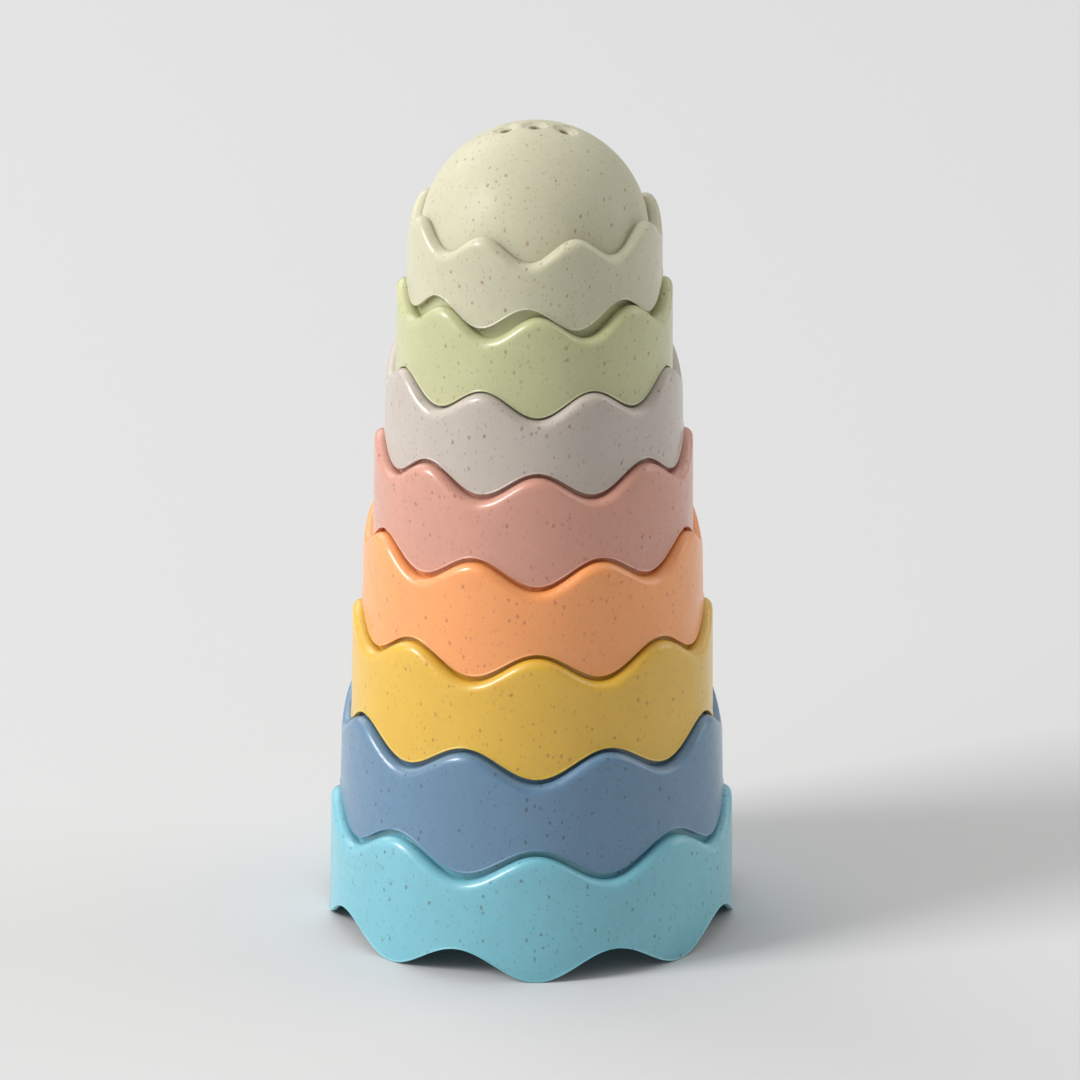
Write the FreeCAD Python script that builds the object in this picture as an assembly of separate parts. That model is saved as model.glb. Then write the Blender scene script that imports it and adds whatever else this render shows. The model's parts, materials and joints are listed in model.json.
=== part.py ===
"""A tower of eight stacking cups with wavy rims, the smallest one closed by a pierced dome.

Each cup is one plastic moulding that stands mouth down. From the bottom up it has a skirt with a wavy
lower edge, a rounded shoulder that waves the same way as the next cup's edge, and a boss that rises
inside the next cup's skirt and is closed by a deck. The next cup rests on the rim of that deck.
Millimetres, +Z up, origin on the floor at the tower's axis. Angles start at -Y and turn towards +X.
"""
import FreeCAD, Part
import math
import os

# The cups from the floor up, named by colour.
CUPS = ("aqua_cup", "blue_cup", "yellow_cup", "orange_cup", "pink_cup", "grey_cup", "green_cup", "dome_cup")

# Skirts: every cup is one step smaller in radius than the cup below it.
BASE_RADIUS = 52.2
RADIUS_STEP = 2.8
WALL = 1.7
DRAFT = math.radians(1.6)

# Heights: the pitch from each cup's lower edge to the next one's, and the open gap left under that edge.
PITCHES = (27.3, 25.4, 25.5, 23.8, 22.6, 20.0, 21.5)
GAPS = (1.7, 1.2, 1.2, 1.2, 1.2, 0.5, 2.1)
TOP_SKIRT_HEIGHT = 17.2

# Waves: eight lobes round each edge. A cup's lobes hang over the dips of the shoulder below.
WAVES = 8
BASE_WAVE = 3.8
WAVE_STEP = 0.12
TOP_CUP_TURN = math.radians(-4.6)

# Shoulder, edges and deck. The shoulder and the deck's rim are round; the small corners are bevelled.
SHOULDER_ROUND = 2.4
LIP_SLOPE = 1.0
LIP_BEVEL = 0.5
CREASE_DEPTH = 0.9
CREASE_BEVEL = 0.4
LEDGE_DEPTH = 2.3
LEDGE_BEVEL = 0.6
EDGE_BEVEL = 0.4
DECK_ROUND = 1.4
DECK_BEVEL = 1.0
DECK_RING = 3.0
BOSS_CLEARANCE = 0.4
REST_CLEARANCE = 0.1
FOOT_FLAT = 0.12

# Dome of the top cup, with a row of three holes across it, each in a shallow dimple.
DOME_RADIUS = 28.8
DOME_WALL = 2.0
DOME_SINK = 4.8
DOME_FOOT_LIFT = 0.4
# The crease round the dome is deepest behind the crests and fades out in the dips.
CROWN_LIP_SLOPE = 0.3
CROWN_CREASE_DEPTH = 0.9
CROWN_CREASE_FADE = 0.6
HOLE_COUNT = 3
HOLE_RADIUS = 1.5
HOLE_SPACING = 7.6
DIMPLE_RADIUS = 3.6
DIMPLE_DEPTH = 0.7
PLUG_CENTRE = 1.0

# Surfaces: poles round a ring, twelve to a wave, and the handle of a cubic quarter arc.
POLES = 12 * WAVES
ARC_HANDLE = 0.5523
ROUND = "round"
BEVEL = "bevel"


def pull(cycles):
    """How far a cubic ring spline shrinks a wave of this many cycles drawn by its poles."""
    return (2 + math.cos(2 * math.pi * cycles / POLES)) / 3


def ring_poles(point, phase):
    """Poles of a closed ring through one profile point: radius, mean height and wave height."""
    radius, height, wave = point
    poles = []
    for step in range(POLES):
        angle = 2 * math.pi * step / POLES
        rise = wave / pull(WAVES) * math.cos(WAVES * (angle - phase))
        reach = radius / pull(1)
        poles.append(FreeCAD.Vector(reach * math.sin(angle), -reach * math.cos(angle), height + rise))
    return poles


def ring_face(points, phase):
    """A band round the axis whose profile is the Bezier curve of these points."""
    rings = [ring_poles(point, phase) for point in points]
    poles = [list(column) for column in zip(*rings)]
    degree = len(points) - 1
    knots_round = [step / POLES for step in range(POLES + 1)]
    surface = Part.BSplineSurface()
    surface.buildFromPolesMultsKnots(
        poles, [1] * (POLES + 1), [degree + 1] * 2, knots_round, [0.0, 1.0], True, False, 3, degree)
    return surface.toShape()


def disc_face(point, phase):
    """A flat disc bounded by the ring through one profile point with no wave."""
    knots = [step / POLES for step in range(POLES + 1)]
    curve = Part.BSplineCurve()
    curve.buildFromPolesMultsKnots(ring_poles(point, phase), [1] * (POLES + 1), knots, True, 3)
    return Part.Face(Part.Wire(curve.toShape()))


def between(start, end, share):
    """The point this share of the way from start to end."""
    return tuple(a + (b - a) * share for a, b in zip(start, end))


def profile_spans(corners):
    """Cut a profile into Bezier spans: straight runs, with an arc or a bevel at each inner corner.

    A corner is (point, ROUND or BEVEL, size), where size is how far the arc or bevel reaches along both runs.
    """
    spans = []
    last = corners[0][0]
    for index in range(1, len(corners) - 1):
        corner, kind, size = corners[index]
        before = corners[index - 1][0]
        after = corners[index + 1][0]
        start = between(corner, before, size / math.dist(before[:2], corner[:2]))
        end = between(corner, after, size / math.dist(after[:2], corner[:2]))
        spans.append([last, start])
        if kind == ROUND:
            spans.append([start, between(start, corner, ARC_HANDLE), between(end, corner, ARC_HANDLE), end])
        else:
            spans.append([start, end])
        last = end
    spans.append([last, corners[-1][0]])
    return spans


def solid_from(faces):
    """Sew faces into one closed solid with its normals outwards."""
    shell = Part.Shell(faces)
    shell.sewShape()
    solid = Part.Solid(shell)
    if solid.Volume < 0:
        solid.reverse()
    return solid


class Cup:
    """The levels and radii of one cup of the tower, counted from the floor up."""

    def __init__(self, index):
        self.index = index
        self.is_top = index == len(CUPS) - 1
        self.radius = BASE_RADIUS - RADIUS_STEP * index
        self.wave = BASE_WAVE - WAVE_STEP * index
        self.edge = BASE_WAVE - FOOT_FLAT + sum(PITCHES[:index])
        self.phase = math.pi / WAVES * (index % 2)
        if self.is_top:
            self.shoulder = self.edge + TOP_SKIRT_HEIGHT
        else:
            self.shoulder = self.edge + PITCHES[index] - GAPS[index]
        self.top_radius = self.radius - math.tan(DRAFT) * (self.shoulder - self.edge)
        self.ledge = self.shoulder - LEDGE_DEPTH


def skirt_corners(cup, lip_radius):
    """Profile corners from the crown's lip, over the shoulder, down the skirt and up inside to the ledge."""
    wave = cup.wave
    return [
        ((lip_radius, cup.shoulder, wave), BEVEL, LIP_BEVEL),
        ((cup.top_radius, cup.shoulder, wave), ROUND, SHOULDER_ROUND),
        ((cup.radius, cup.edge, -wave), BEVEL, EDGE_BEVEL),
        ((cup.radius - WALL, cup.edge, -wave), BEVEL, EDGE_BEVEL),
        ((cup.top_radius - WALL, cup.ledge, wave), BEVEL, LEDGE_BEVEL),
    ]


def decked_cup(cup, next_cup):
    """A cup closed by a flat deck, on which the next cup's ledge rests."""
    wave = cup.wave
    deck = next_cup.ledge - next_cup.wave - REST_CLEARANCE
    boss_radius = next_cup.radius - WALL - BOSS_CLEARANCE
    deck_radius = boss_radius - math.tan(DRAFT) * (deck - cup.shoulder)
    inner_radius = deck_radius - WALL
    ceiling = deck - WALL
    deck_middle = (deck_radius - DECK_RING, deck, 0)
    ceiling_middle = (inner_radius - DECK_RING, ceiling, 0)
    corners = [
        (deck_middle,),
        ((deck_radius, deck, 0), ROUND, DECK_ROUND),
        ((boss_radius, cup.shoulder - CREASE_DEPTH, wave), BEVEL, CREASE_BEVEL),
        *skirt_corners(cup, boss_radius + LIP_SLOPE),
        ((boss_radius - WALL, cup.ledge, wave), BEVEL, LEDGE_BEVEL),
        ((inner_radius, ceiling, 0), BEVEL, DECK_BEVEL),
        (ceiling_middle,),
    ]
    faces = [ring_face(span, cup.phase) for span in profile_spans(corners)]
    faces += [disc_face(deck_middle, cup.phase), disc_face(ceiling_middle, cup.phase)]
    return solid_from(faces)


def wavy_plug(cup, height, radius):
    """A solid that fills everything below the wavy level of the dome's lower edge."""
    rim = DOME_RADIUS + DOME_WALL
    floor_height = height - 2 * DOME_RADIUS
    centre = (PLUG_CENTRE, height, 0)
    outer = (rim, height, cup.wave * rim / radius)
    below = (rim, floor_height, 0)
    faces = [ring_face([centre, outer], cup.phase), ring_face([outer, below], cup.phase)]
    faces += [disc_face(centre, cup.phase), disc_face(below, cup.phase)]
    return solid_from(faces)


def hole_cutter(dome_centre, lean):
    """A round hole with a shallow conical dimple, leaning from the dome's axis along X."""
    axis = FreeCAD.Vector(math.sin(lean), 0, math.cos(lean))
    drill_start = dome_centre + axis * (DOME_RADIUS - 2 * DOME_WALL)
    drill = Part.makeCylinder(HOLE_RADIUS, 3 * DOME_WALL, drill_start, axis)
    rim_sag = DOME_RADIUS - math.sqrt(DOME_RADIUS ** 2 - DIMPLE_RADIUS ** 2)
    foot = dome_centre + axis * (DOME_RADIUS - DIMPLE_DEPTH - rim_sag)
    dimple = Part.makeCone(HOLE_RADIUS, DIMPLE_RADIUS, DIMPLE_DEPTH, foot, axis)
    mouth = Part.makeCylinder(DIMPLE_RADIUS, DOME_WALL, foot + axis * DIMPLE_DEPTH, axis)
    return drill.fuse(dimple).fuse(mouth)


def domed_cup(cup):
    """The top cup: a skirt and shoulder round a hollow dome with a row of holes."""
    dome_centre = FreeCAD.Vector(0, 0, cup.shoulder - DOME_SINK)
    seam_radius = DOME_RADIUS - DOME_WALL / 2
    crease = cup.shoulder - CROWN_CREASE_DEPTH
    crease_wave = cup.wave - CROWN_CREASE_FADE
    seam_top = (seam_radius, crease, crease_wave)
    seam_foot = (seam_radius, cup.ledge, cup.wave)
    corners = [
        (seam_top,),
        ((DOME_RADIUS, crease, crease_wave), BEVEL, CREASE_BEVEL),
        *skirt_corners(cup, DOME_RADIUS + CROWN_LIP_SLOPE),
        (seam_foot,),
    ]
    spans = profile_spans(corners) + [[seam_foot, seam_top]]
    ring = solid_from([ring_face(span, cup.phase) for span in spans])
    ball = Part.makeSphere(DOME_RADIUS, dome_centre)
    hollow = Part.makeSphere(DOME_RADIUS - DOME_WALL, dome_centre)
    dome = ball.cut(hollow).cut(wavy_plug(cup, cup.ledge + DOME_FOOT_LIFT, seam_radius))
    body = ring.fuse(dome)
    lean_step = HOLE_SPACING / DOME_RADIUS
    middle_hole = (HOLE_COUNT - 1) / 2
    for number in range(HOLE_COUNT):
        body = body.cut(hole_cutter(dome_centre, (number - middle_hole) * lean_step))
    body = body.removeSplitter()
    body.rotate(FreeCAD.Vector(0, 0, 0), FreeCAD.Vector(0, 0, 1), math.degrees(TOP_CUP_TURN))
    return body


def flat_feet(solid, cup):
    """Trim the lowest cup's lobes level with the floor, so that it stands on eight small flats."""
    reach = cup.radius + WALL
    below_floor = Part.makeBox(2 * reach, 2 * reach, cup.wave, FreeCAD.Vector(-reach, -reach, -cup.wave))
    return solid.cut(below_floor)


def main():
    os.makedirs("parts", exist_ok=True)
    cups = [Cup(index) for index in range(len(CUPS))]
    for cup, name in zip(cups, CUPS):
        if cup.is_top:
            shape = domed_cup(cup)
        else:
            shape = decked_cup(cup, cups[cup.index + 1])
        if cup.index == 0:
            shape = flat_feet(shape, cup)
        shape.exportStep("parts/" + name + ".step")
        box = shape.BoundBox
        print(name, "valid", shape.isValid(), "solids", len(shape.Solids), "volume", round(shape.Volume, 1),
              "z", round(box.ZMin, 3), round(box.ZMax, 3), "x", round(box.XMin, 3), round(box.XMax, 3))


main()
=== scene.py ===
"""The looks of the stacking cup tower: eight speckled plastic cups in a pale studio."""
import json
import math

import bpy
import mathutils
import numpy as np
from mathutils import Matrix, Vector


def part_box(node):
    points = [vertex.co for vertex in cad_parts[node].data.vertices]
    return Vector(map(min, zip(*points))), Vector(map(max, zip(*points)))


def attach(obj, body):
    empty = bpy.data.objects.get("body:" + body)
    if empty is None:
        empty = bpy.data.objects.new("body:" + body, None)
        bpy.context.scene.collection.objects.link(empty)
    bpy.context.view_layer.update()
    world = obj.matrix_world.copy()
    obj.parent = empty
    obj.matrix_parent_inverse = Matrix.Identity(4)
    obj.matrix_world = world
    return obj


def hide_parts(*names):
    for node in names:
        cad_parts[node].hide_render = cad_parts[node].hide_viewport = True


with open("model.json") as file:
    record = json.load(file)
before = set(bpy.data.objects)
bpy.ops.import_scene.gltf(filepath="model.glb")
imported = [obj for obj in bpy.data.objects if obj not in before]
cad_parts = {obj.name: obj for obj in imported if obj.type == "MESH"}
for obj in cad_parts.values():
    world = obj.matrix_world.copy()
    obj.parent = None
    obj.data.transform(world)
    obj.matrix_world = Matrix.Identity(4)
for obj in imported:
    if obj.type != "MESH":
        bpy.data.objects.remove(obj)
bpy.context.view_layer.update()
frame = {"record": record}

MM = 0.001

# Cups from the floor up, with the material slot of each.
CUPS = (
    ("aqua_cup", "aqua_plastic"),
    ("blue_cup", "blue_plastic"),
    ("yellow_cup", "yellow_plastic"),
    ("orange_cup", "orange_plastic"),
    ("pink_cup", "pink_plastic"),
    ("grey_cup", "grey_plastic"),
    ("green_cup", "green_plastic"),
    ("dome_cup", "cream_plastic"),
)

# Shape shared by the cups, in millimetres. Radii and levels come from the frame.
WAVES = 8
BASE_WAVE = 3.8
WAVE_STEP = 0.12
GAPS = (1.7, 1.2, 1.2, 1.2, 1.2, 0.5, 2.1)
WALL = 1.7
DRAFT = math.radians(1.6)
SHOULDER_ROUND = 2.4
LIP_ROUND = 0.7
LIP_SLOPE = 1.0
CREASE_DEPTH = 0.9
CREASE_ROUND = 0.45
LEDGE_DEPTH = 2.3
LEDGE_ROUND = 0.6
EDGE_ROUND = 0.35
FLARE = 0.32
FLARE_HEIGHT = 0.6
FLARE_ROUND = 0.15
DECK_CENTRE = 1.0
DECK_ROUND = 1.4
BOSS_CLEARANCE = 0.4
TOP_CUP_TURN = math.radians(-4.6)

# Dome of the top cup, its crown, and the row of dimpled holes across it.
DOME_RADIUS = 28.8
DOME_WALL = 2.0
DOME_SINK = 4.8
CROWN_LIP_SLOPE = 0.3
CROWN_LIP_ROUND = 0.6
CROWN_CREASE_DEPTH = 0.9
CROWN_CREASE_FADE = 0.6
CROWN_CREASE_ROUND = 1.0
CROWN_ROUND_LIMIT = 0.48
HOLE_COUNT = 3
HOLE_SPACING = 7.6
HOLE_RADIUS = 1.5
DIMPLE_RADIUS = 3.6
DIMPLE_RADIUS_SHARE = 0.93
DIMPLE_LIP_DEPTH = 0.56
HOLE_LIP = 0.55
HOLE_LIP_DROP = 0.6

# The cap of the dome is meshed as triangles round the holes, on a grid that keeps clear of both outlines.
CAP_RADIUS = 15.0
CAP_SPACING = 0.75
CAP_MARGIN = 0.5
DIMPLE_MARGIN = 0.35
CAP_TOLERANCE = 1e-6

# Rows of the dome and of its hollow that make way for the rounds of the crease and of the ledge.
CREASE_ROWS = 3
LEDGE_ROWS = 1

# Rows of faces along each run of the profile, and steps round a cup and a hole.
STEPS_ROUND = 52 * WAVES
ARC_STEPS = 7
DECK_STEPS = 10
BOSS_STEPS = 8
LIP_STEPS = 2
SKIRT_STEPS = 14
INSIDE_STEPS = 10
DOME_STEPS = 26
HOLLOW_STEPS = 20
HOLE_STEPS = 48
DIMPLE_STEPS = 8
HOLE_LIP_STEPS = 6
HOLLOW_RIM_STEPS = 4

# How far a curve's handles reach towards the corner to draw a quarter circle.
CIRCLE_HANDLE = 0.5523


# ---------------------------------------------------------------- meshes

class Shell:
    """The points, in millimetres, and the faces of one cup's mesh, begun from closed rings of points."""

    def __init__(self, rings):
        count, steps = len(rings), len(rings[0])
        row, step = np.meshgrid(np.arange(count - 1) * steps, np.arange(steps), indexing="ij")
        after = (step + 1) % steps
        quads = np.stack([row + step, row + steps + step, row + steps + after, row + after], -1)
        self.points = list(np.concatenate(rings))
        self.faces = [list(quad) for quad in quads.reshape(-1, 4)]

    def add_points(self, points):
        """Add points and return their numbers."""
        first = len(self.points)
        self.points += list(points)
        return list(range(first, len(self.points)))

    def bridge(self, first, second, flipped=False):
        """Join two closed rings of point numbers with quads."""
        for k in range(len(first)):
            after = (k + 1) % len(first)
            quad = [first[k], first[after], second[after], second[k]]
            self.faces.append(quad[::-1] if flipped else quad)

    def piece(self, name):
        """The finished smooth-shaded object."""
        mesh = bpy.data.meshes.new(name)
        points = [tuple(point * MM) for point in self.points]
        mesh.from_pydata(points, [], [tuple(face) for face in self.faces])
        mesh.validate()
        mesh.update()
        mesh.shade_smooth()
        piece = bpy.data.objects.new(name, mesh)
        bpy.context.scene.collection.objects.link(piece)
        return piece


def ease(start, end, share):
    """The value this share of the way from start to end."""
    return start + (end - start) * share


def arc_rows(before, corner, after, size):
    """Rows of a rounded corner between two straight runs, each row an array of (radius, height) per angle."""
    run_in = before - corner
    run_out = after - corner
    start = corner + run_in * (size / np.linalg.norm(run_in, axis=1))[:, None]
    end = corner + run_out * (size / np.linalg.norm(run_out, axis=1))[:, None]
    handle_in = ease(start, corner, CIRCLE_HANDLE)
    handle_out = ease(end, corner, CIRCLE_HANDLE)
    rows = []
    for index in range(ARC_STEPS + 1):
        t = index / ARC_STEPS
        rest = 1 - t
        rows.append(rest ** 3 * start + 3 * rest ** 2 * t * handle_in
                    + 3 * rest * t ** 2 * handle_out + t ** 3 * end)
    return rows


def profile_rows(corners):
    """Rows through (points, round size, steps to the next corner) corners, rounding all but the end ones."""
    rows = [corners[0][0]]
    for index in range(1, len(corners)):
        point, size, _ = corners[index]
        if index < len(corners) - 1 and np.any(size):
            new = arc_rows(corners[index - 1][0], point, corners[index + 1][0], size)
        else:
            new = [point]
        steps = corners[index - 1][2]
        last = rows[-1]
        rows += [ease(last, new[0], k / steps) for k in range(1, steps)]
        rows += new
    return rows


class Cup:
    """Levels and radii of one cup, read from its CAD box, and its waves at every angle."""

    def __init__(self, index):
        self.node, self.slot = CUPS[index]
        self.body = next(body for body, nodes in frame["record"]["behaviour"]["bodies"].items()
                         if self.node in nodes)
        low, high = (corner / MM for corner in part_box(self.node))
        self.is_top = index == len(CUPS) - 1
        self.radius = high.x
        self.top = high.z
        self.wave = BASE_WAVE - WAVE_STEP * index
        self.edge = low.z + self.wave
        self.turn = TOP_CUP_TURN if self.is_top else 0.0
        self.angles = np.arange(STEPS_ROUND) * 2 * math.pi / STEPS_ROUND
        phase = math.pi / WAVES * (index % 2) + self.turn
        self.swell = self.wave * np.cos(WAVES * (self.angles - phase))
        self.gap = 0.0 if self.is_top else GAPS[index]

    def settle(self, cup_above):
        """Work out the levels that depend on the cup above."""
        if cup_above:
            self.shoulder = cup_above.edge - self.gap
            self.boss_radius = cup_above.radius - WALL - BOSS_CLEARANCE
        else:
            dimple_sag = DOME_RADIUS - math.sqrt(DOME_RADIUS ** 2 - DIMPLE_RADIUS ** 2)
            self.top += dimple_sag
            self.shoulder = self.top - DOME_RADIUS + DOME_SINK
            self.boss_radius = DOME_RADIUS
        self.top_radius = self.radius - math.tan(DRAFT) * (self.shoulder - self.edge)
        self.ledge = self.shoulder - LEDGE_DEPTH

    def level(self, radius, height, share=0.0):
        """A profile point at every angle, with this share of the cup's wave in its height."""
        return np.stack([np.full(STEPS_ROUND, float(radius)), height + share * self.swell], -1)

    def ring(self, row):
        """Turn one profile row into a ring of points in space, no lower than the floor."""
        x = row[:, 0] * np.sin(self.angles)
        y = -row[:, 0] * np.cos(self.angles)
        return np.stack([x, y, np.maximum(row[:, 1], 0.0)], -1)

    def skirt(self, lip_slope, lip_round):
        """Corners from the crown's lip down the outside of the skirt and up the inside to the ledge."""
        return [
            (self.level(self.boss_radius + lip_slope, self.shoulder, 1), lip_round, LIP_STEPS),
            (self.level(self.top_radius, self.shoulder, 1), SHOULDER_ROUND, SKIRT_STEPS),
            (self.level(self.radius - FLARE, self.edge + FLARE_HEIGHT, -1), FLARE_ROUND, 1),
            (self.level(self.radius, self.edge, -1), EDGE_ROUND, 1),
            (self.level(self.radius - WALL, self.edge, -1), EDGE_ROUND, INSIDE_STEPS),
            (self.level(self.top_radius - WALL, self.ledge, 1), LEDGE_ROUND, LIP_STEPS),
        ]


def decked_cup(cup):
    """A cup closed by a flat deck on top of its boss."""
    deck_radius = cup.boss_radius - math.tan(DRAFT) * (cup.top - cup.shoulder)
    under_deck = cup.top - WALL
    corners = [
        (cup.level(DECK_CENTRE, cup.top), 0, DECK_STEPS),
        (cup.level(deck_radius, cup.top), DECK_ROUND, BOSS_STEPS),
        (cup.level(cup.boss_radius, cup.shoulder - CREASE_DEPTH, 1), CREASE_ROUND, 1),
        *cup.skirt(LIP_SLOPE, LIP_ROUND),
        (cup.level(cup.boss_radius - WALL, cup.ledge, 1), LEDGE_ROUND, BOSS_STEPS),
        (cup.level(deck_radius - WALL, under_deck), DECK_ROUND, DECK_STEPS),
        (cup.level(DECK_CENTRE, under_deck), 0, 1),
    ]
    shell = Shell([cup.ring(row) for row in profile_rows(corners)])
    last = len(shell.points) - STEPS_ROUND
    shell.faces.append(list(range(STEPS_ROUND)))
    shell.faces.append([last + step for step in reversed(range(STEPS_ROUND))])
    return shell.piece(cup.node + "_shell")


def dome_arc(radius, centre, start, end, steps):
    """Rows along a sphere's meridians, between two polar angles that may differ round the ring."""
    rows = []
    for index in range(steps + 1):
        polar = ease(start, end, index / steps)
        rows.append(np.stack([radius * np.sin(polar), centre + radius * np.cos(polar)], -1))
    return rows


def hole_axes(turn):
    """Unit directions of the holes from the dome's centre, in a row at this turn."""
    axes = []
    for number in range(HOLE_COUNT):
        lean = (number - (HOLE_COUNT - 1) / 2) * HOLE_SPACING / DOME_RADIUS
        across = math.sin(lean)
        axes.append(np.array([across * math.cos(turn), across * math.sin(turn), math.cos(lean)]))
    return axes


def dimple_profile():
    """(distance from the hole's axis, depth below the dome), from inside the dimple's rim to the hole."""
    lip = HOLE_RADIUS + HOLE_LIP
    points = []
    for index in range(1, DIMPLE_STEPS + 1):
        t = index / DIMPLE_STEPS
        points.append((ease(DIMPLE_RADIUS, lip, t), DIMPLE_LIP_DEPTH * (3 * t ** 2 - 2 * t ** 3)))
    for index in range(1, HOLE_LIP_STEPS + 1):
        angle = math.pi / 2 * index / HOLE_LIP_STEPS
        depth = DIMPLE_LIP_DEPTH + HOLE_LIP_DROP * (1 - math.cos(angle))
        points.append((lip - HOLE_LIP * math.sin(angle), depth))
    return points


def hollow_profile():
    """(distance from the hole's axis, depth) on the dome's inside, from the rim ring to the hole's wall."""
    steps = range(1, HOLLOW_RIM_STEPS + 1)
    return [(ease(DIMPLE_RADIUS, HOLE_RADIUS, step / HOLLOW_RIM_STEPS), 0.0) for step in steps]


def hole_ring(axis, centre, radius, distance, depth):
    """A ring of points round a hole's axis, this far from it and this deep below the sphere."""
    side = np.cross(axis, [0.0, 1.0, 0.0])
    side /= np.linalg.norm(side)
    other = np.cross(axis, side)
    turn = np.arange(HOLE_STEPS) * 2 * math.pi / HOLE_STEPS
    spread = np.outer(np.cos(turn), side) + np.outer(np.sin(turn), other)
    along = math.sqrt(radius ** 2 - distance ** 2) - depth
    return centre + axis * along + spread * distance


def cap_triangles(outline, rims):
    """Triangles between an outline and the rims of the holes in it, seen from above, with filling points."""
    points = []
    edges = []
    for loop in [outline] + rims:
        start = len(points)
        points += [mathutils.Vector(point[:2]) for point in loop]
        edges += [(start + k, start + (k + 1) % len(loop)) for k in range(len(loop))]
    centres = [mathutils.Vector(rim.mean(0)[:2]) for rim in rims]
    reach = int(CAP_RADIUS / CAP_SPACING) + 1
    for row in range(-reach, reach + 1):
        for column in range(-reach, reach + 1):
            across = (column + 0.5 * (row % 2)) * CAP_SPACING
            point = mathutils.Vector((across, row * CAP_SPACING * math.sqrt(3) / 2))
            clear = all((point - middle).length > DIMPLE_RADIUS + DIMPLE_MARGIN for middle in centres)
            if clear and point.length < CAP_RADIUS - CAP_MARGIN:
                points.append(point)
    made, _, triangles, origin, _, _ = mathutils.geometry.delaunay_2d_cdt(points, edges, [], 0, CAP_TOLERANCE)
    kept = []
    for triangle in triangles:
        middle = sum((made[k] for k in triangle), mathutils.Vector((0, 0))) / 3
        in_hole = any((middle - c).length < DIMPLE_RADIUS * DIMPLE_RADIUS_SHARE for c in centres)
        if not in_hole and middle.length < CAP_RADIUS:
            kept.append([origin[k][0] for k in triangle])
    return points, kept


def on_sphere(points, scale, centre, radius):
    """Scale flat points and lift them onto the upper side of a sphere."""
    flat = np.array([(point * scale)[:2] for point in points])
    height = centre + np.sqrt(radius ** 2 - (flat ** 2).sum(1))
    return np.column_stack([flat, height])


def crown_rows(cup, centre, inner):
    """Rows from the dome's cap over the crown and round the skirt to the cap of the hollow."""
    crease_share = 1 - CROWN_CREASE_FADE / cup.wave
    crease = cup.level(cup.boss_radius, cup.shoulder - CROWN_CREASE_DEPTH, crease_share)
    outer_end = np.arccos((crease[:, 1] - centre) / DOME_RADIUS)
    crease[:, 0] = DOME_RADIUS * np.sin(outer_end)
    ledge = cup.level(inner, cup.ledge, 1)
    inner_end = np.arccos((ledge[:, 1] - centre) / inner)
    ledge[:, 0] = inner * np.sin(inner_end)
    cap_polar = np.full(STEPS_ROUND, math.asin(CAP_RADIUS / DOME_RADIUS))
    dome_rows = dome_arc(DOME_RADIUS, centre, cap_polar, outer_end, DOME_STEPS)
    hollow_rows = dome_arc(inner, centre, inner_end, cap_polar, HOLLOW_STEPS)
    lip = cup.level(cup.boss_radius + CROWN_LIP_SLOPE, cup.shoulder, 1)
    room = CROWN_ROUND_LIMIT * np.linalg.norm(lip - crease, axis=1)
    corners = [
        (dome_rows[-CREASE_ROWS], 0, 1),
        (crease, np.minimum(CROWN_CREASE_ROUND, room), 1),
        *cup.skirt(CROWN_LIP_SLOPE, np.minimum(CROWN_LIP_ROUND, room)),
        (ledge, LEDGE_ROUND, 1),
        (hollow_rows[LEDGE_ROWS], 0, 1),
    ]
    return dome_rows[:-CREASE_ROWS] + profile_rows(corners) + hollow_rows[LEDGE_ROWS + 1:]


def domed_cup(cup):
    """The top cup: skirt, crown and hollow dome in one piece, with the holes modelled."""
    centre = cup.top - DOME_RADIUS
    inner = DOME_RADIUS - DOME_WALL
    rings = [cup.ring(row) for row in crown_rows(cup, centre, inner)]
    shell = Shell(rings)
    middle = np.array([0.0, 0.0, centre])
    axes = hole_axes(cup.turn)
    rims = [hole_ring(axis, middle, DOME_RADIUS, DIMPLE_RADIUS, 0.0) for axis in axes]
    cap_points, triangles = cap_triangles(rings[0], rims)
    last_ring = (len(rings) - 1) * STEPS_ROUND
    mouths = []
    for radius, ring_start, profile, inside in (
            (DOME_RADIUS, 0, dimple_profile(), False), (inner, last_ring, hollow_profile(), True)):
        lifted = on_sphere(cap_points, radius / DOME_RADIUS, centre, radius)
        numbers = list(range(ring_start, ring_start + STEPS_ROUND))
        numbers += shell.add_points(lifted[STEPS_ROUND:])
        for triangle in triangles:
            corners = [numbers[k] for k in triangle]
            shell.faces.append(corners[::-1] if inside else corners)
        for number, axis in enumerate(axes):
            rim_start = STEPS_ROUND + number * HOLE_STEPS
            last = numbers[rim_start:rim_start + HOLE_STEPS]
            for distance, depth in profile:
                new = shell.add_points(hole_ring(axis, middle, radius, distance, depth))
                shell.bridge(last, new, inside)
                last = new
            mouths.append(last)
    for upper, lower in zip(mouths[:HOLE_COUNT], mouths[HOLE_COUNT:]):
        shell.bridge(upper, lower)
    piece = shell.piece(cup.node + "_shell")
    tidy_normals(piece)
    return piece


def tidy_normals(piece):
    """Point every face outwards."""
    bpy.context.view_layer.objects.active = piece
    piece.select_set(True)
    bpy.ops.object.mode_set(mode="EDIT")
    bpy.ops.mesh.select_all(action="SELECT")
    bpy.ops.mesh.normals_make_consistent(inside=False)
    bpy.ops.object.mode_set(mode="OBJECT")
    piece.select_set(False)


# ---------------------------------------------------------------- materials

# Specks: spacing and radius in mm, share of cells that hold one, and the least and most strength.
FAINT_SPECKS = (1.9, 0.55, 0.7, 0.06, 0.28)
SMALL_SPECKS = (1.05, 0.3, 0.8, 0.12, 0.6)
BIG_SPECKS = (1.9, 0.44, 0.75, 0.15, 0.58)

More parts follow.
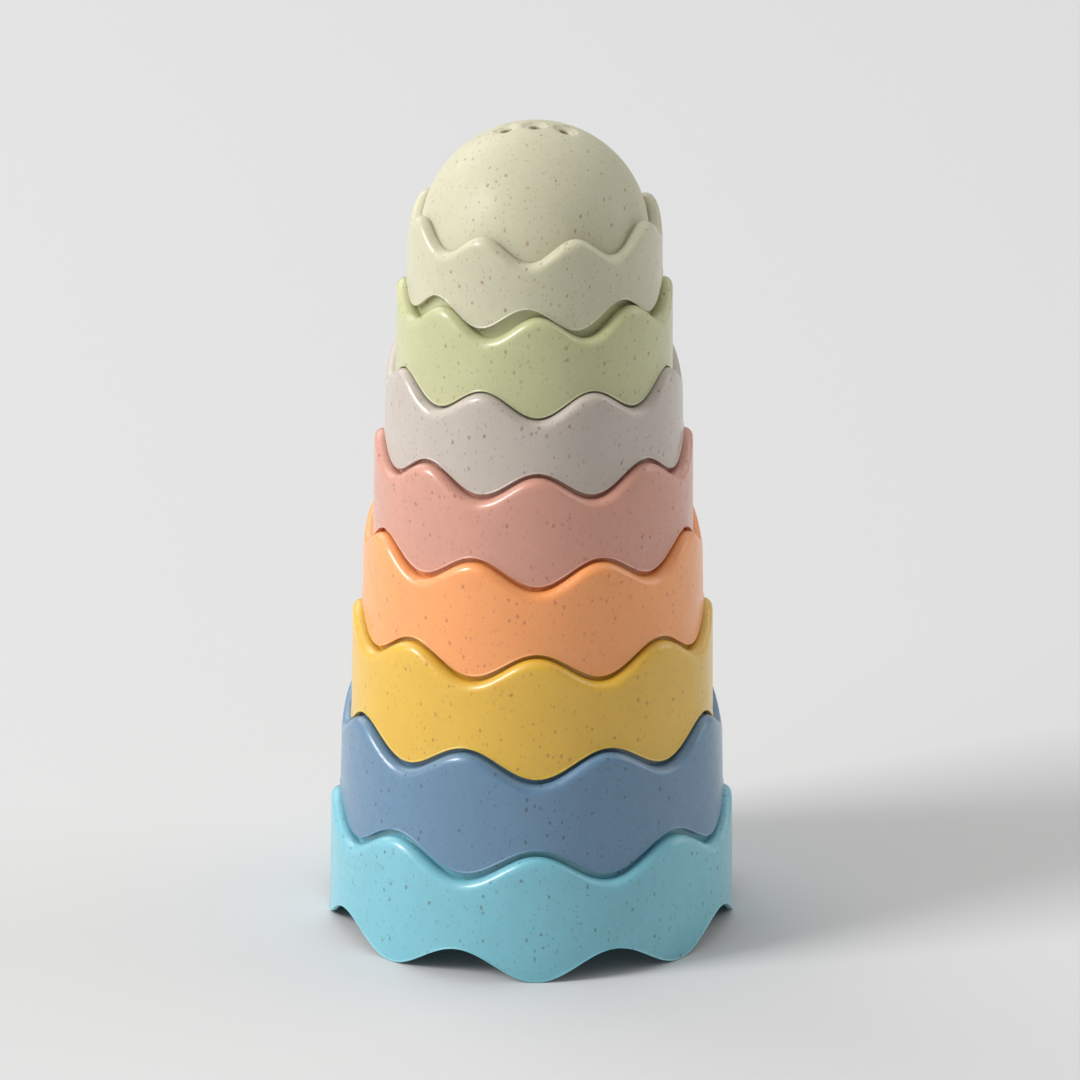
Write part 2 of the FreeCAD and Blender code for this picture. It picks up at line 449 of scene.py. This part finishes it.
# The size and reach in mm of the wobble in the specks' outlines, their soft edge and their upright stretch.
WOBBLE_CELL = 0.4
WOBBLE_REACH = 0.65
NOISE_MIDDLE = (0.5, 0.5, 0.5)
SPECK_EDGE = 0.35
SPECK_STRETCH = (1.0, 1.0, 0.7)

# Big specks turn from the pale to the deep speck colour over this part of their chance.
DEEP_FROM = 0.45
DEEP_TO = 0.75

# How far in metres each cup's pattern is moved from the one below, so that no two are alike.
PATTERN_STEP = (0.31, 0.17, 0.23)

# Noise, with scales per metre: broad clouds of colour, fine flow marks, and the grain of the surface. The
# ranges say which part of the noise changes the clouds, the flow marks and the roughness.
CLOUD = {"Scale": 60.0, "Detail": 3.0, "Roughness": 0.55}
FLOW = {"Scale": 330.0, "Detail": 3.0, "Roughness": 0.6}
GRAIN = {"Scale": 700.0, "Detail": 2.0}
CLOUD_RANGE = (0.3, 0.7)
FLOW_RANGE = (0.35, 0.75)
ROUGH_RANGE = (0.25, 0.75)
CLOUD_DARKENING = 0.95
FLOW_TINT = 0.07

# Surface: roughness range under the clear gloss, reflection, bump, and the light that spreads in the wall.
# BUMP_HEIGHT and GLOW_DEPTH are in mm.
ROUGH_LOW = 0.46
ROUGH_HIGH = 0.54
GLOSS_ROUGHNESS = 0.2
GLOSS = 0.68
CROWN_GLOSS = 0.6
DOME_GLOSS = 0.05
SHEEN = 0.65
DOME_SHEEN = 0.27
REFRACTION = 1.49
BUMP_STRENGTH = 0.06
BUMP_HEIGHT = 0.1
SPECK_SINK = 0.4
GLOW_SHARE = 0.45
GLOW_DEPTH = 3.5

# The dome's dull finish changes to the crown's gloss between these distances beyond the dome, in mm.
CROWN_FROM = 0.2
CROWN_TO = 0.8


def linear(red, green, blue):
    """Linear colour of screen values out of 255, by the sRGB curve."""
    values = [v / 255 for v in (red, green, blue)]
    return tuple(v / 12.92 if v <= 0.04045 else ((v + 0.055) / 1.055) ** 2.4 for v in values) + (1.0,)


class Nodes:
    """Short-hand for building one material's nodes."""

    def __init__(self, name):
        self.material = bpy.data.materials.new(name)
        self.material.use_nodes = True
        self.tree = self.material.node_tree
        self.shader = self.tree.nodes["Principled BSDF"]

    def fill(self, socket, value):
        """Link another node's output to a socket, or set its value."""
        if isinstance(value, bpy.types.NodeSocket):
            self.tree.links.new(value, socket)
        else:
            socket.default_value = value

    def add(self, kind, inputs, **settings):
        """Add a node with these settings and inputs."""
        node = self.tree.nodes.new(kind)
        for name, value in settings.items():
            setattr(node, name, value)
        for name, value in inputs.items():
            self.fill(node.inputs[name], value)
        return node

    def vector_math(self, operation, inputs):
        """Add a node that does this to vectors."""
        return self.add("ShaderNodeVectorMath", inputs, operation=operation)

    def math(self, operation, first, second):
        """The result of doing this to two numbers."""
        return self.add("ShaderNodeMath", {0: first, 1: second}, operation=operation).outputs[0]

    def ramp(self, value, low, high, start=0.0, end=1.0):
        """Map low..high smoothly to start..end."""
        inputs = {"Value": value, "From Min": low, "From Max": high, "To Min": start, "To Max": end}
        return self.add("ShaderNodeMapRange", inputs, interpolation_type="SMOOTHSTEP").outputs["Result"]

    def mix(self, share, first, second):
        """The colour this share of the way from the first colour to the second."""
        node = self.add("ShaderNodeMix", {}, data_type="RGBA")
        for name, value in (("Factor_Float", share), ("A_Color", first), ("B_Color", second)):
            self.fill(next(socket for socket in node.inputs if socket.identifier == name), value)
        return next(socket for socket in node.outputs if socket.identifier == "Result_Color")

    def set_shader(self, values):
        """Fill the named sockets of the shader."""
        for name, value in values.items():
            self.fill(self.shader.inputs[name], value)


def speck_layer(nodes, place, cell, size, share, least, most):
    """One layer of irregular specks: their mask, a chance per speck, and how much of their colour shows."""
    wobble_scale = 1 / (WOBBLE_CELL * MM)
    wobble = nodes.add("ShaderNodeTexNoise", {"Vector": place, "Scale": wobble_scale, "Detail": 1.0})
    shift = nodes.vector_math("SUBTRACT", {0: wobble.outputs["Color"], 1: NOISE_MIDDLE}).outputs[0]
    nudge = nodes.vector_math("SCALE", {0: shift, "Scale": WOBBLE_REACH * MM}).outputs[0]
    moved = nodes.vector_math("ADD", {0: place, 1: nudge}).outputs[0]
    cells = nodes.add("ShaderNodeTexVoronoi", {"Vector": moved, "Scale": 1 / (cell * MM), "Randomness": 1.0})
    chance = nodes.add("ShaderNodeSeparateColor", {"Color": cells.outputs["Color"]})
    reach = nodes.ramp(chance.outputs["Red"], 1 - share, 1 - share / 2, 0.0, size / cell)
    inside = nodes.math("SUBTRACT", reach, cells.outputs["Distance"])
    strength = nodes.ramp(chance.outputs["Green"], 0.0, 1.0, least, most)
    mask = nodes.ramp(inside, 0.0, SPECK_EDGE * size / cell)
    return mask, chance.outputs["Green"], nodes.math("MULTIPLY", mask, strength)


def crown_gloss(nodes, origin, dome_centre):
    """The coat of the top cup: dull on the dome, whose centre is at this height in mm, glossy beyond it."""
    middle = (0.0, 0.0, dome_centre * MM)
    distance = nodes.vector_math("DISTANCE", {0: origin, 1: middle}).outputs["Value"]
    start = (DOME_RADIUS + CROWN_FROM) * MM
    end = (DOME_RADIUS + CROWN_TO) * MM
    return nodes.ramp(distance, start, end, DOME_GLOSS, CROWN_GLOSS)


def speckled_plastic(name, index, dome_centre=None):
    """Satin moulded plastic filled with ground plant fibre, for the cup of this index."""
    colour, speck, deep_speck = PLASTICS[name]
    nodes = Nodes(name)
    origin = nodes.add("ShaderNodeTexCoord", {}).outputs["Object"]
    offset = [part * index for part in PATTERN_STEP]
    mapping = {"Vector": origin, "Location": offset, "Scale": SPECK_STRETCH}
    place = nodes.add("ShaderNodeMapping", mapping).outputs[0]
    cloud = nodes.add("ShaderNodeTexNoise", {"Vector": place, **CLOUD}).outputs["Fac"]
    flow = nodes.add("ShaderNodeTexNoise", {"Vector": place, **FLOW}).outputs["Fac"]
    grain = nodes.add("ShaderNodeTexNoise", {"Vector": place, **GRAIN}).outputs["Fac"]
    darker = tuple(CLOUD_DARKENING * part for part in colour[:3]) + (1.0,)
    tone = nodes.mix(nodes.ramp(cloud, *CLOUD_RANGE), darker, colour)
    tone = nodes.mix(nodes.ramp(flow, *FLOW_RANGE, 0.0, FLOW_TINT), tone, speck)
    for layer in (FAINT_SPECKS, SMALL_SPECKS):
        share = speck_layer(nodes, place, *layer)[2]
        tone = nodes.mix(share, tone, speck)
    big, chance, share = speck_layer(nodes, place, *BIG_SPECKS)
    tone = nodes.mix(share, tone, nodes.mix(nodes.ramp(chance, DEEP_FROM, DEEP_TO), speck, deep_speck))
    relief = nodes.math("SUBTRACT", grain, nodes.math("MULTIPLY", big, SPECK_SINK))
    bump = {"Height": relief, "Strength": BUMP_STRENGTH, "Distance": BUMP_HEIGHT * MM}
    nodes.set_shader({
        "Base Color": tone,
        "Roughness": nodes.ramp(flow, *ROUGH_RANGE, ROUGH_LOW, ROUGH_HIGH),
        "Normal": nodes.add("ShaderNodeBump", bump).outputs["Normal"],
        "Coat Weight": crown_gloss(nodes, origin, dome_centre) if dome_centre else GLOSS,
        "Coat Roughness": GLOSS_ROUGHNESS,
        "IOR": REFRACTION,
        "Specular IOR Level": DOME_SHEEN if dome_centre else SHEEN,
        "Subsurface Weight": GLOW_SHARE,
        "Subsurface Radius": [part / max(colour[:3]) for part in colour[:3]],
        "Subsurface Scale": GLOW_DEPTH * MM,
    })
    return nodes.material


# Each plastic's colour, and the colours of its pale and deep specks.
PLASTICS = {
    "aqua_plastic": (linear(119, 188, 203), linear(96, 126, 130), linear(76, 96, 102)),
    "blue_plastic": (linear(95, 132, 161), linear(76, 88, 104), linear(58, 68, 82)),
    "yellow_plastic": (linear(223, 178, 52), linear(186, 126, 50), linear(154, 98, 44)),
    "orange_plastic": (linear(247, 160, 92), linear(206, 118, 74), linear(176, 96, 60)),
    "pink_plastic": (linear(206, 149, 129), linear(162, 104, 88), linear(136, 84, 74)),
    "grey_plastic": (linear(189, 178, 167), linear(150, 122, 108), linear(122, 98, 88)),
    "green_plastic": (linear(189, 190, 143), linear(152, 138, 96), linear(130, 100, 74)),
    "cream_plastic": (linear(198, 195, 168), linear(170, 138, 112), linear(152, 104, 80)),
}


FLOOR_FINISH = {"Base Color": linear(208, 208, 208), "Roughness": 0.75, "Specular IOR Level": 0.2}


def floor_material():
    """Matt pale paper."""
    nodes = Nodes("studio_floor")
    nodes.set_shader(FLOOR_FINISH)
    return nodes.material


# ---------------------------------------------------------------- studio

# The camera's distance, height and sideways shift are in mm, before its turn round the tower's axis. The
# lens and sensor are in mm too, and the clip distances in metres.
CAMERA_AZIMUTH = math.radians(-1.6)
CAMERA_DISTANCE = 2330.8
CAMERA_HEIGHT = 938.6
CAMERA_SIDE = 1.75
CAMERA_PITCH = math.radians(19.78)
CAMERA_ROLL = math.radians(0.35)
CAMERA_LENS = 324.5
SENSOR_WIDTH = 36.0
CLIP_START = 0.1
CLIP_END = 30.0

# Soft boxes: azimuth and elevation in degrees, distance, width and height in metres, and power in watts.
LIGHTS = {
    "key": (-71, 35, 4.0, 1.2, 1.5, 118),
    "left_wall": (-68, 12, 3.0, 3.0, 3.0, 28),
    "overhead": (180, 64, 3.0, 6.0, 6.0, 50),
    "back_left": (-140, 35, 3.0, 2.0, 2.0, 20),
    "right": (100, 25, 3.0, 2.0, 2.0, 20),
}
LIGHT_TARGET = (0.0, 0.0, 0.1)
WORLD_COLOUR = (1.0, 1.0, 1.0, 1.0)
WORLD_STRENGTH = 0.33
FLOOR_REACH = 12.0


def make_camera():
    """A long lens from the front, a little above the tower and tilted down at it."""
    data = bpy.data.cameras.new("camera")
    data.lens = CAMERA_LENS
    data.sensor_width = SENSOR_WIDTH
    data.clip_start = CLIP_START
    data.clip_end = CLIP_END
    camera = bpy.data.objects.new("camera", data)
    turn = mathutils.Matrix.Rotation(CAMERA_AZIMUTH, 4, "Z")
    place = mathutils.Matrix.Translation(
        (CAMERA_SIDE * MM, -CAMERA_DISTANCE * MM, CAMERA_HEIGHT * MM))
    tilt = mathutils.Matrix.Rotation(math.pi / 2 - CAMERA_PITCH, 4, "X")
    roll = mathutils.Matrix.Rotation(CAMERA_ROLL, 4, "Z")
    camera.matrix_world = turn @ place @ tilt @ roll
    bpy.context.scene.collection.objects.link(camera)
    bpy.context.scene.camera = camera


def area_light(name, azimuth, elevation, distance, width, height, power):
    """A soft box aimed at the tower's middle; azimuth counts from the camera side towards +X."""
    data = bpy.data.lights.new(name, "AREA")
    data.shape = "RECTANGLE"
    data.size = width
    data.size_y = height
    data.energy = power
    lamp = bpy.data.objects.new(name, data)
    target = mathutils.Vector(LIGHT_TARGET)
    across, up = math.radians(azimuth), math.radians(elevation)
    back = mathutils.Vector((math.sin(across) * math.cos(up), -math.cos(across) * math.cos(up), math.sin(up)))
    lamp.location = target + back * distance
    lamp.rotation_mode = "QUATERNION"
    lamp.rotation_quaternion = back.to_track_quat("Z", "Y")
    bpy.context.scene.collection.objects.link(lamp)


def make_studio():
    """An even white surround, the soft boxes and the floor."""
    world = bpy.data.worlds.new("studio")
    bpy.context.scene.world = world
    world.use_nodes = True
    background = world.node_tree.nodes["Background"]
    background.inputs["Color"].default_value = WORLD_COLOUR
    background.inputs["Strength"].default_value = WORLD_STRENGTH
    for name, values in LIGHTS.items():
        area_light(name, *values)
    mesh = bpy.data.meshes.new("floor")
    reach = FLOOR_REACH
    corners = [(-reach, -reach, 0), (reach, -reach, 0), (reach, reach, 0), (-reach, reach, 0)]
    mesh.from_pydata(corners, [], [(0, 1, 2, 3)])
    floor = bpy.data.objects.new("floor", mesh)
    floor.data.materials.append(floor_material())
    bpy.context.scene.collection.objects.link(floor)
    bpy.context.scene.view_settings.view_transform = "Standard"


def make_tower():
    """Build every cup, give it its plastic and put it on its CAD body."""
    cups = [Cup(index) for index in range(len(CUPS))]
    for cup, cup_above in zip(cups, cups[1:] + [None]):
        cup.settle(cup_above)
    for index, cup in enumerate(cups):
        piece = domed_cup(cup) if cup.is_top else decked_cup(cup)
        dome_centre = cup.top - DOME_RADIUS if cup.is_top else None
        piece.data.materials.append(speckled_plastic(cup.slot, index, dome_centre))
        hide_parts(cup.node)
        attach(piece, cup.body)


make_camera()
make_studio()
make_tower()
